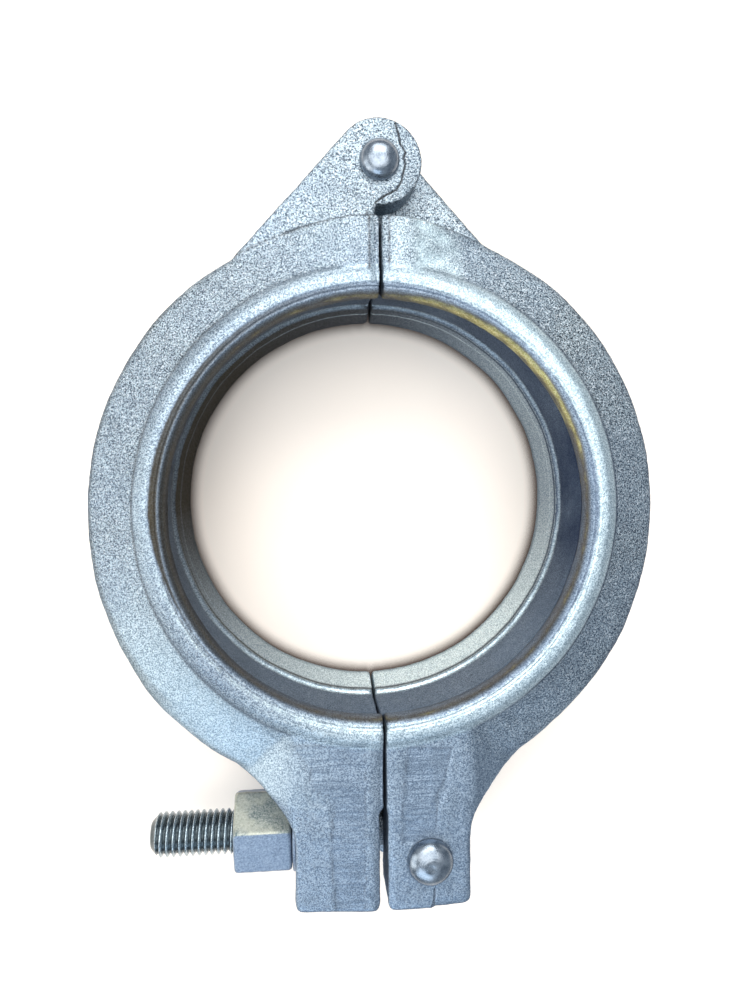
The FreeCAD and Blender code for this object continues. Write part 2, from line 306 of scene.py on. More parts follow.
class Nodes:
    """Short way to write a material's node tree."""

    def __init__(self, name):
        self.material = bpy.data.materials.new(name)
        self.material.use_nodes = True
        self.tree = self.material.node_tree
        self.shader = self.tree.nodes["Principled BSDF"]
        self.object = self.add("ShaderNodeTexCoord").outputs["Object"]

    def add(self, kind, **settings):
        """New node with these settings."""
        node = self.tree.nodes.new(kind)
        for key, value in settings.items():
            setattr(node, key, value)
        return node

    def put(self, socket, value):
        """Link an output or set a plain value."""
        if isinstance(value, bpy.types.NodeSocket):
            self.tree.links.new(value, socket)
        else:
            socket.default_value = value

    def give(self, **looks):
        """Set the shader's inputs; an underscore stands for a space."""
        for name, value in looks.items():
            self.put(self.shader.inputs[name.replace("_", " ")], value)

    def noise(self, size, detail=3.0, roughness=0.6, stretch=(1, 1, 1)):
        """Noise whose largest grains are about this many millimetres."""
        mapping = self.add("ShaderNodeMapping")
        self.put(mapping.inputs["Vector"], self.object)
        self.put(mapping.inputs["Scale"], stretch)
        node = self.add("ShaderNodeTexNoise")
        self.put(node.inputs["Vector"], mapping.outputs["Vector"])
        self.put(node.inputs["Scale"], 1.0 / (size * MM))
        self.put(node.inputs["Detail"], detail)
        self.put(node.inputs["Roughness"], roughness)
        return node.outputs["Fac"]

    def stored(self, name):
        """Number kept on the mesh."""
        node = self.add("ShaderNodeAttribute", attribute_name=name)
        return node.outputs["Fac"]

    def math(self, operation, a, b):
        """Sum on two numbers."""
        node = self.add("ShaderNodeMath", operation=operation)
        self.put(node.inputs[0], a)
        self.put(node.inputs[1], b)
        return node.outputs[0]

    def times(self, a, b):
        """Product of two numbers."""
        return self.math("MULTIPLY", a, b)

    def spread(self, value, low, high, to_low=0.0, to_high=1.0):
        """Map a range of values to another."""
        node = self.add("ShaderNodeMapRange")
        for socket, number in zip(node.inputs[1:5],
                                  (low, high, to_low, to_high)):
            socket.default_value = number
        self.put(node.inputs["Value"], value)
        return node.outputs["Result"]

    def mix(self, share, a, b):
        """Blend two colours."""
        node = self.add("ShaderNodeMix", data_type="RGBA")
        self.put(node.inputs["Factor"], share)
        colours = [socket for socket in node.inputs if socket.type == "RGBA"]
        self.put(colours[0], a)
        self.put(colours[1], b)
        return next(socket for socket in node.outputs if socket.type == "RGBA")

    def bump(self, height, strength, distance, normal=None):
        """Small relief; distance is in millimetres."""
        node = self.add("ShaderNodeBump")
        node.inputs["Strength"].default_value = strength
        node.inputs["Distance"].default_value = distance * MM
        self.put(node.inputs["Height"], height)
        if normal is not None:
            self.put(node.inputs["Normal"], normal)
        return node.outputs["Normal"]


def tone(red, green, blue):
    """Linear colour of a screen colour given from 0 to 255."""
    parts = []
    for part in (red, green, blue):
        part /= 255
        parts.append(part / 12.92 if part <= 0.04045
                     else ((part + 0.055) / 1.055) ** 2.4)
    return (*parts, 1.0)


def forged_zinc():
    """Blasted, zinc-plated forging with bright wear and painted highlights, dirt and painted
    shade, and ground places.
    """
    nodes = Nodes("forged_zinc")
    grain = nodes.noise(0.52, detail=2.0, roughness=0.85)
    fleck = nodes.noise(0.55, detail=1.0, roughness=0.5)
    patch = nodes.noise(9.0, detail=4.0)
    cloud = nodes.noise(45.0, detail=2.0, roughness=0.5)
    strokes = nodes.noise(1.1, detail=2.0, stretch=(0.08, 1.0, 1.0))
    wear_and_highlight, grime_and_shade = nodes.stored("wear_and_highlight"), nodes.stored("grime_and_shade")
    tint, ground = nodes.stored("tint"), nodes.stored("ground")
    coarse, warm = nodes.stored("coarse"), nodes.stored("warm")
    # plated skin, plain or coarsely blasted
    grit = nodes.spread(grain, 0.42, 0.58)
    even = nodes.mix(grit, tone(98, 112, 130), tone(152, 166, 182))
    rough = nodes.mix(grit, tone(14, 22, 32), tone(190, 204, 212))
    body = nodes.mix(coarse, even, rough)
    sparks = nodes.times(nodes.spread(fleck, 0.57, 0.66), coarse)
    body = nodes.mix(nodes.times(sparks, 0.9), body, tone(236, 242, 246))
    body = nodes.mix(nodes.spread(cloud, 0.4, 0.62, to_high=0.2), body,
                     tone(122, 142, 168))
    body = nodes.mix(nodes.spread(patch, 0.5, 0.75, to_high=0.3), body,
                     tone(84, 96, 108))
    # worn bright places and painted highlights, ground strokes, dirt and painted shade, stained
    # places
    shine = nodes.mix(grit, tone(164, 184, 194), tone(230, 244, 248))
    body = nodes.mix(wear_and_highlight, body, shine)
    lines = nodes.times(ground, nodes.spread(strokes, 0.48, 0.60))
    body = nodes.mix(nodes.times(lines, 0.38), body, tone(80, 94, 112))
    # dark colour of dirt and painted shade, bluish or olive by the warm number
    dirt_and_shade = nodes.mix(warm, tone(12, 32, 68), tone(66, 57, 40))
    dark = nodes.times(grime_and_shade, nodes.spread(grain, 0.35, 0.65, 1.0, 0.95))
    body = nodes.mix(dark, body, dirt_and_shade)
    fresh = nodes.mix(grit, tone(192, 184, 118), tone(238, 234, 186))
    stain = nodes.mix(nodes.spread(tint, 0.45, 0.85), tone(106, 92, 66), fresh)
    body = nodes.mix(nodes.spread(tint, 0.05, 0.7), body, stain)
    finish = nodes.spread(fleck, 0.3, 0.7, 0.36, 0.60)
    finish = nodes.math("SUBTRACT", finish, nodes.times(wear_and_highlight, 0.10))
    finish = nodes.math("ADD", finish, nodes.times(grime_and_shade, 0.15))
    fine = nodes.bump(nodes.times(grain, coarse), 0.9, 0.30)
    fine = nodes.bump(fleck, 0.4, 0.08, fine)
    fine = nodes.bump(nodes.times(strokes, ground), 0.5, 0.30, fine)
    nodes.give(Base_Color=body, Metallic=0.88, Roughness=finish,
               Specular_IOR_Level=0.15, Specular_Tint=(0.20, 0.24, 0.31, 1.0),
               Normal=nodes.bump(patch, 0.25, 0.6, fine))
    return nodes.material


def rivet_zinc():
    """Smooth plated dome with faint rings from the riveting tool."""
    nodes = Nodes("rivet_zinc")
    haze = nodes.noise(3.0, detail=4.0)
    grain = nodes.noise(0.6)
    rings = nodes.stored("rings")
    body = nodes.mix(nodes.spread(haze, 0.35, 0.65), tone(112, 122, 134),
                     tone(160, 168, 178))
    body = nodes.mix(nodes.spread(grain, 0.5, 0.8, to_high=0.5), body,
                     tone(66, 74, 86))
    body = nodes.mix(rings, body, tone(150, 158, 168))
    turned = nodes.bump(rings, 0.35, 0.12)
    nodes.give(Base_Color=body, Metallic=0.95,
               Roughness=nodes.spread(haze, 0.3, 0.7, 0.22, 0.34),
               Normal=nodes.bump(grain, 0.35, 0.08, turned))
    return nodes.material


def thread_zinc():
    """Bright rolled thread, with painted shade in its roots."""
    nodes = Nodes("thread_zinc")
    grain = nodes.noise(0.6)
    smear = nodes.noise(6.0)
    body = nodes.mix(nodes.spread(grain, 0.35, 0.65), tone(130, 144, 152),
                     tone(196, 206, 212))
    body = nodes.mix(nodes.stored("root_shade"), body, tone(44, 52, 54))
    nodes.give(Base_Color=body, Metallic=0.95,
               Roughness=nodes.spread(smear, 0.3, 0.7, 0.16, 0.30),
               Normal=nodes.bump(grain, 0.2, 0.06))
    return nodes.material


def nut_zinc():
    """Plated hexagon nut, with a painted greenish-grey reflection, bright and pitted, on its
    upper facets.
    """
    nodes = Nodes("nut_zinc")
    grain = nodes.noise(0.7, roughness=0.85)
    cloud = nodes.noise(9.0)
    grit = nodes.spread(grain, 0.38, 0.62)
    body = nodes.mix(grit, tone(104, 118, 138), tone(152, 166, 184))
    # painted reflection and shade on the upper facets
    upper_facet_reflection = nodes.mix(nodes.spread(cloud, 0.42, 0.58), tone(90, 106, 108),
                     tone(160, 162, 150))
    upper_facet_reflection = nodes.mix(nodes.times(grit, 0.6), upper_facet_reflection, tone(212, 212, 202))
    body = nodes.mix(nodes.stored("upper_facet_reflection"), body, upper_facet_reflection)
    nodes.give(Base_Color=body, Metallic=0.8,
               Roughness=nodes.spread(grain, 0.3, 0.7, 0.36, 0.58),
               Normal=nodes.bump(grain, 0.7, 0.24))
    return nodes.material


def pale_floor():
    """Plain warm white floor, with a painted brown contact shadow close around the object."""
    nodes = Nodes("pale_floor")
    body = nodes.mix(nodes.noise(60.0, detail=2.0), tone(252, 238, 226),
                     tone(253, 241, 231))
    # painted brown contact shadow where the object closes the floor in
    contact_shadow = nodes.add("ShaderNodeAmbientOcclusion", samples=8)
    contact_shadow.inputs["Distance"].default_value = 7 * MM
    openness = nodes.spread(contact_shadow.outputs["AO"], 0.42, 0.80)
    body = nodes.mix(openness, tone(60, 36, 22), body)
    nodes.give(Base_Color=body, Roughness=0.85, Emission_Strength=0.04,
               Emission_Color=tone(255, 250, 246))
    return nodes.material


# ---------------------------------------------------------------- the halves

# Places ground by hand on the front of both lugs, each with its outline
LEFT_GROUND = [(-6.2, -78.5), (-31.0, -78.0), (-25.0, -86.0), (-24.4, -94.2),
               (-17.4, -96.4), (-16.9, -99.5), (-18.3, -113.5),
               (-16.9, -138.0), (-6.4, -138.0)]
RIGHT_GROUND = [(8.2, -80.0), (23.5, -81.0), (20.8, -92.5), (18.4, -97.0),
                (18.2, -113.5), (6.2, -113.5), (6.3, -98.4)]
# Forging fold beside the hinge rivet, on the front ear
FOLD = [(6.3, 128.6), (7.5, 124.2), (8.0, 121.0), (9.8, 118.4), (9.1, 116.6),
        (9.7, 114.7), (8.9, 111.5), (8.3, 108.9), (6.7, 106.3), (2.6, 104.2),
        (-0.4, 102.0)]
# Flash step on the right lug below the rivet
FLASH_EDGE = [(17.6, -131.0), (17.2, -135.4), (16.2, -138.2), (14.6, -139.4)]

# Outer radius of the rim around the ring: degrees from +X, millimetres. The rim
# swells by what each radius has beyond the base.
RIM = [(0, 96.3), (20, 96.2), (45, 96.2), (150, 96.2), (180, 96.3), (187, 96.7),
       (196, 97.2), (204, 97.8), (210, 98.2), (216, 99.1), (222, 99.4),
       (228, 99.5), (235, 99.8), (250, 99.8), (285, 99.6), (297, 99.4),
       (309, 98.1), (315, 97.8), (328, 97.6), (340, 96.9), (360, 96.3)]
RIM_BASE = 95.75


def shape_half(places, side):
    """Swell the rim towards the lugs and cut the lug ends askew."""
    x, y = places[:, 0].copy(), places[:, 1].copy()
    radius = np.hypot(x, y)
    turn = np.degrees(np.arctan2(y, x)) % 360
    grow = np.interp(turn, *zip(*RIM)) - RIM_BASE
    # only near the rim, fading out on the lugs and on the hinge's block
    grow *= step_up(radius, 84, 95) * (1 - step_up(radius, 97, 116))
    grow *= 1 - step_up(y, 70, 84)
    places[:, :2] += (grow / radius)[:, None] * np.stack([x, y], axis=1)
    low = step_up(-y, 122, 137)
    if side < 0:
        places[:, 1] += 1.5 * low * step_up(-x, 2, 30)
    else:
        places[:, 1] += low * (0.8 * step_up(x, 16.4, 17.8)
                               + 0.6 * step_up(x, 20, 30))


def ear_relief(places, front):
    """Fold on the left half's front ear, and the lower skin beyond it."""
    x, y, z = places.T
    ear = front * (y > EAR_LOW) * (z > EAR_FACE - 2)
    gap = line_distance(places, FOLD)
    reach = from_axis(places, HINGE)
    beyond = (gap < 6) * (reach > 8.6) * (x > 2) * step_up(reach, 9, 14)
    return -0.45 * ear * ridge(gap, 0, 0.24), -0.4 * ear * beyond


def flash_relief(places, front):
    """Flash line at the end of the right lug, and the step beside it."""
    x, y, _ = places.T
    near = front * (y < LUG_END)
    gap = line_distance(places, FLASH_EDGE)
    return (-0.25 * near * ridge(gap, 0, 0.35),
            -0.45 * near * (x > 17.4) * step_up(-y, 134, 138))


def half_relief(places, normals, side):
    """How far each point of a forged half stands out, in millimetres."""
    x, y, z = places.T
    front = step_up(normals[:, 2], 0.5, 0.85)
    radius = from_axis(places)
    # uneven skin, rougher outside the collar
    relief = 0.14 * ripple(places, 24.0, 3) + 0.05 * ripple(places, 5.0, 4)
    rough = step_up(radius, COLLAR_RADIUS, COLLAR_RADIUS + 2)
    relief += 0.035 * ripple(places, 2.4, 5) * rough
    # hammered crown and its grooves
    crown = (z > FRONT_LIP) * ridge(radius, 75.5, 2.5)
    relief += 0.05 * crown * ripple(places, 1.9, 8)
    for groove, depth, _ in GROOVES:
        line = ridge(radius + 0.12 * ripple(places, 6.0, 9), groove, 0.34)
        relief -= depth * line * (z > CROWN_TOP)
    # ground strips on the lugs, and skin that falls off towards the split
    lug = step_up(-y, 1 - LUG_TOP, 7 - LUG_TOP) * (radius > COLLAR_RADIUS - 3)
    ground = LEFT_GROUND if side < 0 else RIGHT_GROUND
    inside = depth_inside(places, ground) + 0.25 * ripple(places, 3.0, 6)
    relief -= 0.20 * front * lug * step_up(inside, -0.3, 0.3)
    wobble = 0.5 * ripple(places, 9.0, 7)
    band = step_up(5.0 + wobble - np.abs(x), 0, 5.0)
    relief -= 0.5 * front * lug * band ** 1.5
    dip = step_up(3.4 + 0.6 * wobble - np.abs(x), 0, 2.6)
    relief -= 0.6 * front * (y > BLOCK_LOW - 2) * (y < EAR_LOW - 1) * dip
    own = ear_relief if side < 0 else flash_relief
    for part in own(places, front):
        relief += part
    return relief


class Skin:
    """Vertices of a finished half, and the measures that its marks follow."""

    def __init__(self, piece):
        self.places, self.normals = points_of(piece)
        self.x, self.y, self.z = self.places.T
        self.width = np.abs(self.x)
        self.radius = from_axis(self.places)
        self.uneven = ripple(self.places, 7.0, 11)
        self.fine = ripple(self.places, 2.2, 12)
        self.facing = step_up(self.normals[:, 2], 0.6, 0.85)
        self.inside = step_up(CAVITY_RADIUS + 1.0 - self.radius, 0, 1.5)
        self.block = ((self.y > BLOCK_LOW) * (self.y < EAR_LOW) * (self.z > 18)
                      * (self.radius > COLLAR_RADIUS - 2))
        edge = self.around(73.6, 72.4, 74.3, 74.6, 75.4, 71.6, 71.4, 72.2)
        edge += self.fine * self.around(0.1, 0.1, 0.2, 0.1, 0.06, 0.12, 0.35,
                                        0.3)
        # radius at which the bright crown begins, round the ring
        self.crown_edge = edge
        crown = step_up(self.radius, edge, edge + 0.7)
        crown *= step_up(COLLAR_RADIUS + 0.6 - self.radius, 0, 1.2)
        self.crown = crown * (np.abs(self.z) > CROWN_FACE)

    def around(self, *values):
        """Blend numbers given at every 45 degrees, from +X."""
        return around(self.places, *values)


def strongest(*marks):
    """The highest of several marks at every point."""
    return np.maximum.reduce(marks)


def crown_wear_and_highlight(skin):
    """Bright wear and painted highlights on the crown and its inner rounding, and a painted
    highlight on the lower left annulus.
    """
    wear_and_highlight = skin.crown * skin.around(0.6, 0.85, 0.3, 0.08, 0.15, 0.0, 0.4, 0.6)
    # painted highlight on the lower left annulus
    lower_left = step_up(-skin.y, 10, 60) * step_up(-skin.x, 10, 60)
    lower_left *= step_up(skin.radius, COLLAR_RADIUS, COLLAR_RADIUS + 1.5)
    lower_left *= (skin.radius < 104) * (skin.z > 15)
    wear_and_highlight = strongest(wear_and_highlight, 0.38 * lower_left)
    # painted highlight line along the crown's inner rounding
    highlight_at = skin.around(74.4, 74.2, 75.0, 75.2, 76.2, 73.9, 73.6, 73.8)
    line = ridge(skin.radius, highlight_at, 0.5) * (skin.z > FRONT_SKIN)
    line *= step_up(skin.fine, -0.8, 0.2)
    return np.clip(wear_and_highlight + line * skin.around(0.2, 0.2, 0, 0, 0.1, 0.5, 0.9, 0.7),
                   0, 1)


def crown_painted_shade(skin):
    """Painted shade on the rounding inside the crown and in its grooves."""
    edge = step_up(skin.crown_edge - skin.radius, -0.2, 0.6) * (skin.z > FRONT_LIP)
    edge *= skin.around(0.35, 0.0, 0.3, 0.75, 0.95, 0.8, 0.1, 0.2)
    edge *= 1 - 0.6 * ridge(skin.radius, 72.2, 0.45)
    dull = skin.crown * skin.around(0, 0, 0, 0, 0.04, 0.16, 0.04, 0)
    lines = sum(ridge(skin.radius, groove, width) for groove, _, width in GROOVES)
    lines *= (skin.z > CROWN_TOP) * (0.8 + 0.3 * skin.fine)
    lines *= skin.around(0.4, 0.6, 0.35, 0.8, 0.9, 0.6, 0.25, 0.45)
    return strongest(edge, dull, lines)


def block_wear_and_highlight(skin, side):
    """Bright wear and painted highlight on the block beside the hinge, most on the right one."""
    worn = step_up(30 - skin.width, 0, 8) * step_up(skin.width, 3, 5)
    worn *= 0.3 + 0.7 * step_up(skin.width, 9, 14)
    worn *= np.clip(0.7 + 0.5 * skin.uneven, 0, 1)
    return (0.1 if side < 0 else 0.95) * skin.block * worn


def block_painted_shade(skin):
    """Painted shade along the split and along the block's outer edge."""
    rims = ridge(skin.width, 3.2, 0.35) * skin.block * skin.facing
    brow = ridge(skin.radius, BLOCK_RADIUS, 0.45) * (skin.y > 82) * (skin.z > 18)
    return strongest(rims * (0.55 + 0.3 * skin.fine),
                     brow * (0.45 + 0.2 * skin.fine))


def bore_painted_shade(skin):
    """Painted shade in the cavity between the lips and on the back lip."""
    cavity = skin.inside * (skin.z < FRONT_LIP) * (skin.z > BACK_STEP)
    less_shade = skin.around(0.05, 0.15, 0.3, 0.3, 0.3, 0.3, 0.3, 0.2)
    cavity *= 1 - less_shade * step_up(-skin.z, -16, 10)
    cavity *= skin.around(1.0, 0.7, 0.92, 0.85, 0.95, 0.45, 0.3, 0.22)
    land = skin.inside * (skin.z <= BACK_STEP)
    land *= skin.around(0.35, 0.3, 0.85, 0.93, 0.94, 0.3, 0.0, 0.0)
    corner = skin.inside * ridge(skin.z, BACK_STEP - 0.8, 0.7) * 0.9
    return strongest(cavity, land, corner)


def back_lip_reflection(skin):
    """Painted reflection of the floor on the back lip's land, strongest at the bottom."""
    worn = skin.inside * (skin.z <= BACK_STEP)
    return worn * skin.around(0.6, 0.5, 0.3, 0.1, 0.1, 0.5, 1.0, 1.0)


def back_lip_highlights(skin):
    """Painted highlight on the shelf in front of the back lip, and a bright turned line on it.
    """
    shelf = skin.inside * ridge(skin.z, BACK_STEP + 0.8, 0.6) * (skin.radius > 73)
    shelf *= skin.around(0.5, 0.4, 0.4, 0.2, 0.15, 0.6, 1.0, 0.9)
    turned = skin.inside * ridge(skin.z, BACK_STEP - 3.5, 0.3)
    turned *= skin.around(0.6, 0.8, 0.7, 0.3, 0.2, 0.4, 0.3, 0.5)
    return strongest(shelf, turned)


def collar_painted_shade(skin):
    """Painted shade at the foot of the collar, on the grey shoulder and on the rim."""
    plain = (1 - step_up(skin.y, 66, 74)) * (1 - step_up(-skin.y, 60, 70))
    foot = ridge(skin.radius, COLLAR_RADIUS + 0.3, 0.45)
    foot *= np.abs(skin.z) > FRONT_SKIN
    foot *= skin.around(0.7, 0.5, 0.2, 0.3, 0.45, 0.35, 0.3, 0.7)
    shoulder = step_up(skin.radius, COLLAR_RADIUS, COLLAR_RADIUS + 2) * plain
    shoulder *= skin.around(0.16, 0.06, 0.0, 0.0, 0.12, 0.0, 0.0, 0.16)
    rim = step_up(skin.radius, 94.6, 96.0) * plain * (skin.z > 10)
    return strongest(foot * plain, shoulder * (0.8 + 0.4 * skin.uneven),
                     0.35 * rim)


def lip_tint(skin):
    """Yellow-brown stain on the front lip."""
    width = skin.around(0.6, 1.0, 1.6, 1.0, 0.5, 0.5, 0.7, 0.6)
    tint = ridge(skin.radius, LIP_RADIUS + 0.5, width) * (skin.z > FRONT_LIP - 1)
    tint *= skin.around(0.5, 0.95, 0.55, 0.4, 0.3, 0.35, 0.5, 0.5)
    return np.clip(tint * (0.95 + 0.15 * skin.uneven + 0.1 * skin.fine), 0, 1)


def blasted_grain(skin, grime_and_shade, ground):
    """Coarseness of the blasted skin, finer where it is ground or darkened by dirt and painted
    shade.
    """
    coarse = step_up(skin.radius, COLLAR_RADIUS - 1, COLLAR_RADIUS + 1)
    coarse *= skin.around(1.0, 1.0, 0.7, 0.9, 0.8, 0.3, 0.0, 0.6)
    coarse = strongest(coarse * (1 - step_up(-skin.y, 74, 96)), 0.45 * skin.crown)
    coarse = 0.15 + 0.8 * coarse
    coarse *= 1 - grime_and_shade * (skin.radius < COLLAR_RADIUS)
    return coarse * (1 - 0.6 * ground)


def fold_painted_shade(skin, side):
    """Painted shade in the left ear's fold on the left half, and beside the lug's flash on the
    right half.
    """
    if side < 0:
        fold = ridge(line_distance(skin.places, FOLD), 0, 0.25) * (skin.y > EAR_LOW)
    else:
        fold = 0.5 * ridge(line_distance(skin.places, FLASH_EDGE), 0, 0.4)
        fold *= skin.y < LUG_END
    return fold * (skin.normals[:, 2] > 0.3)


def half_marks(piece, side):
    """Keep where the skin has bright wear and painted highlights, dirt and painted shade, and
    where it is yellow, coarse or ground.
    """
    skin = Skin(piece)
    lines = back_lip_highlights(skin)
    wear_and_highlight = strongest(crown_wear_and_highlight(skin), block_wear_and_highlight(skin, side),
                       back_lip_reflection(skin), lines)
    grime_and_shade = strongest(crown_painted_shade(skin), block_painted_shade(skin), bore_painted_shade(skin))
    grime_and_shade = strongest(grime_and_shade * (1 - lines), collar_painted_shade(skin))
    tint = lip_tint(skin)
    grime_and_shade = np.where(skin.z > FRONT_LIP - 1, grime_and_shade * (1 - 0.8 * tint), grime_and_shade)
    strip = depth_inside(skin.places, LEFT_GROUND if side < 0 else RIGHT_GROUND)
    # painted shade along the edges of the ground strips
    outline = ridge(strip + 0.3 * skin.fine, 0.2, 0.28) * skin.facing * (skin.y < LUG_TOP)
    ground = step_up(strip, -0.5, 0.5) * skin.facing * (skin.z > FRONT_SKIN)
    store(piece, "wear_and_highlight", wear_and_highlight)
    store(piece, "grime_and_shade", strongest(grime_and_shade, fold_painted_shade(skin, side), 0.3 * outline))
    store(piece, "tint", tint)
    store(piece, "ground", ground)
    store(piece, "coarse", blasted_grain(skin, grime_and_shade, ground))
    # hue of the dirt and painted shade round the ring: bluish towards +X, olive towards -X
    store(piece, "warm", skin.around(0.1, 0.15, 0.75, 1.0, 1.0, 0.9, 0.6, 0.4))


def soften_edges(piece):
    """Round all edges, less on the crown, in the bore and in the rivet's hole."""
    places, _ = points_of(piece)
    radius, depth = from_axis(places), np.abs(places[:, 2])
    inner = (radius < CAVITY_RADIUS + 1.5) & (depth < CROWN_TOP)
    rivet_hole = from_axis(places, HINGE) < 7
    crown = (radius > 73) & (radius < 82) & (depth > CROWN_TOP)
    weights = np.where(crown, 0.5, 1.0)
    weights = np.where(inner | rivet_hole, 0.25, weights)
    relax(piece, 9, weights)


def blend_blocks(piece):
    """Let the block and the lug run softly into the ring."""
    places, normals = points_of(piece)
    width = np.abs(places[:, 0])
    beside = ridge(width, 10, 5) * (places[:, 1] > 82)
    beside *= from_axis(places) < 94
    below = ridge(width, 31, 5) * (places[:, 1] < -72) * (places[:, 1] > -106)
    blend = (beside + below) * (np.abs(normals[:, 2]) > 0.85)
    relax(piece, 40, blend)


def refine_details(piece, side):
    """Finer mesh at the fold or flash, on the crown's grooves and the shelf."""
    places, normals = points_of(piece)
    marked = line_distance(places, FOLD if side < 0 else FLASH_EDGE) < 1.6
    refine(piece, marked & (normals[:, 2] > 0.5), 2)
    places, _ = points_of(piece)
    radius, z = from_axis(places), places[:, 2]
    lip = (radius > 71.8) & (radius < 75.4) & (z > CROWN_FACE)
    shelf = (radius < 76) & (z > -18) & (z < -11.5)
    refine(piece, lip | shelf, 1)


def keep_in_box(places, node):
    """Hold every point just inside the CAD node's box."""
    low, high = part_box(node)
    margin = 0.02
    for axis in range(3):
        places[:, axis] = np.clip(places[:, axis], low[axis] / MM + margin,
                                  high[axis] / MM - margin)


def forged_half(node, side, material):
    """Half ring as a forging: rounded edges, waves and hand-ground marks."""
    piece = copy_of(node, node + "_forging")
    remesh(piece, HALF_VOXEL)
    soften_edges(piece)
    blend_blocks(piece)
    refine_details(piece, side)
    places, normals = points_of(piece)
    relief = half_relief(places, normals, side)
    shape_half(places, side)
    places += normals * relief[:, None]
    keep_in_box(places, node)
    move_points(piece, places)
    shade(piece)
    half_marks(piece, side)
    piece.data.materials.append(material)
    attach(piece, node)
    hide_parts(node)
    return piece


# ---------------------------------------------------------------- the rivets

def dome(radius, rim, height, base, dimple):
    """Profile of a rivet head, fuller than an ellipse, from its seat to the axis."""
    dimple_depth = 0.22
    points = [(radius - 0.25, base), (radius, base + 0.3)] if rim else []
    base, height = base + rim, height - rim
    steps = 24
    for index in range(steps + 1):
        angle = math.pi / 2 * index / steps
        out = radius * math.cos(angle) ** 0.92
        up = base + height * math.sin(angle) ** 0.95
        if dimple and out < dimple * 1.6:
            sink = math.cos(min(out / dimple, 1.0) * math.pi) * 0.5 + 0.5
            up -= dimple_depth * sink
        points.append((out if index < steps else 0.0, up))
    return points


def rivet(node, body, centre, material, seat, shank, head, rise, fall,
          dimple=0.0):
    """Riveted pin with a domed front head and a flatter back head."""
    front = dome(head, 0.5, rise, seat, dimple)
    back = [(r, -h) for r, h in dome(head * 0.98, 0.0, fall, seat, 0.0)]
    profile = list(reversed(back)) + [(shank, -seat), (shank, seat)] + front
    piece = lathe(node + "_rivet", profile, Vector((centre.x, centre.y, 0)))
    places, _ = points_of(piece)
    spacing = 0.9
    waves = np.sin(from_axis(places, centre) * 2 * math.pi / spacing)
    store(piece, "rings", 0.3 * (0.5 + 0.5 * waves))
    piece.data.materials.append(material)
    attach(piece, body)
    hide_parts(node)
    return piece


# ---------------------------------------------------------------- bolt and nut

def thread_radius(x, angle):
    """Radius of the screw thread's surface at a place along the bolt."""
    root_flat, flank_share = 0.12, 0.74
    tip_cut, tip_slope = 1.7, 1.1
    turn = (x / PITCH + angle / (2 * math.pi)) % 1.0
    flank = abs(turn - 0.5) * 2
    height = min(max((flank - root_flat) / flank_share, 0.0), 1.0)
    radius = ROOT_RADIUS + (CREST_RADIUS - ROOT_RADIUS) * height
    chamfer = ROOT_RADIUS - tip_cut + max(x - BOLT_TIP, 0.0) * tip_slope
    return min(radius, chamfer)


def bolt_thread(material):
    """Threaded end of the swing bolt, with a true helix."""
    steps, per_pitch = ((72, 14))
    rows = int((THREAD_START - BOLT_TIP) / PITCH * per_pitch)
    work = bmesh.new()
    rings, depths = [], []
    for row in range(rows + 1):
        x = BOLT_TIP + (THREAD_START - BOLT_TIP) * row / rows
        ring = []
        for index in range(steps):
            angle = 2 * math.pi * index / steps
            radius = thread_radius(x, angle)
            place = (x, PIVOT.y + radius * math.cos(angle),
                     radius * math.sin(angle))
            ring.append(work.verts.new(Vector(place) * MM))
            depths.append((CREST_RADIUS - radius) / (CREST_RADIUS - ROOT_RADIUS))
        rings.append(ring)
    for low, high in zip(rings, rings[1:]):
        for index in range(steps):
            after = (index + 1) % steps
            work.faces.new((low[index], high[index], high[after], low[after]))
    for ring, x in ((rings[0], BOLT_TIP), (rings[-1], THREAD_START)):
        middle = work.verts.new(Vector((x, PIVOT.y, 0)) * MM)
        depths.append(0.0)
        for index in range(steps):
            work.faces.new((ring[index], ring[(index + 1) % steps], middle))
    bmesh.ops.recalc_face_normals(work, faces=work.faces)
    mesh = bpy.data.meshes.new("swing_bolt_thread")
    work.to_mesh(mesh)
    work.free()
    piece = add_piece("swing_bolt_thread", mesh)
    shade(piece)
    places, _ = points_of(piece)
    # painted shade in the thread's roots
    root_shade = 0.85 * np.clip(np.array(depths), 0, 1) ** 1.6
    root_shade[places[:, 0] < BOLT_TIP + 0.3] = 0.15
    store(piece, "root_shade", root_shade)
    piece.data.materials.append(material)
    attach(piece, "swing_bolt")
    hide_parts("swing_bolt")
    return piece


def cut_thread_off(piece):
    """Leave the eye and the plain shank, which reaches into the thread."""
    overlap = 1.5
    work = bmesh.new()
    work.from_mesh(piece.data)
    everything = work.verts[:] + work.edges[:] + work.faces[:]
    place = Vector((THREAD_START - overlap, 0, 0)) * MM
    bmesh.ops.bisect_plane(work, geom=everything, plane_co=place,
                           plane_no=(1, 0, 0), clear_inner=True)
    open_edges = [edge for edge in work.edges if edge.is_boundary]
    bmesh.ops.holes_fill(work, edges=open_edges)
    work.to_mesh(piece.data)
    work.free()


def bolt_forging(material):
    """Eye and plain shank of the swing bolt."""
    piece = copy_of("swing_bolt", "swing_bolt_forging")
    cut_thread_off(piece)
    remesh(piece, BOLT_VOXEL)
    relax(piece, 6)
    places, normals = points_of(piece)
    shrink = 0.05
    relief = 0.08 * ripple(places, 9.0, 21) - shrink
    move_points(piece, places + normals * relief[:, None])
    shade(piece)
    levels = {"wear_and_highlight": 0, "grime_and_shade": 0.15, "tint": 0, "ground": 0,
              "coarse": 0.5, "warm": 0.5}
    for mark, level in levels.items():
        store(piece, mark, np.full(len(places), level))
    piece.data.materials.append(material)
    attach(piece, "swing_bolt")
    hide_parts("swing_bolt")
    return piece


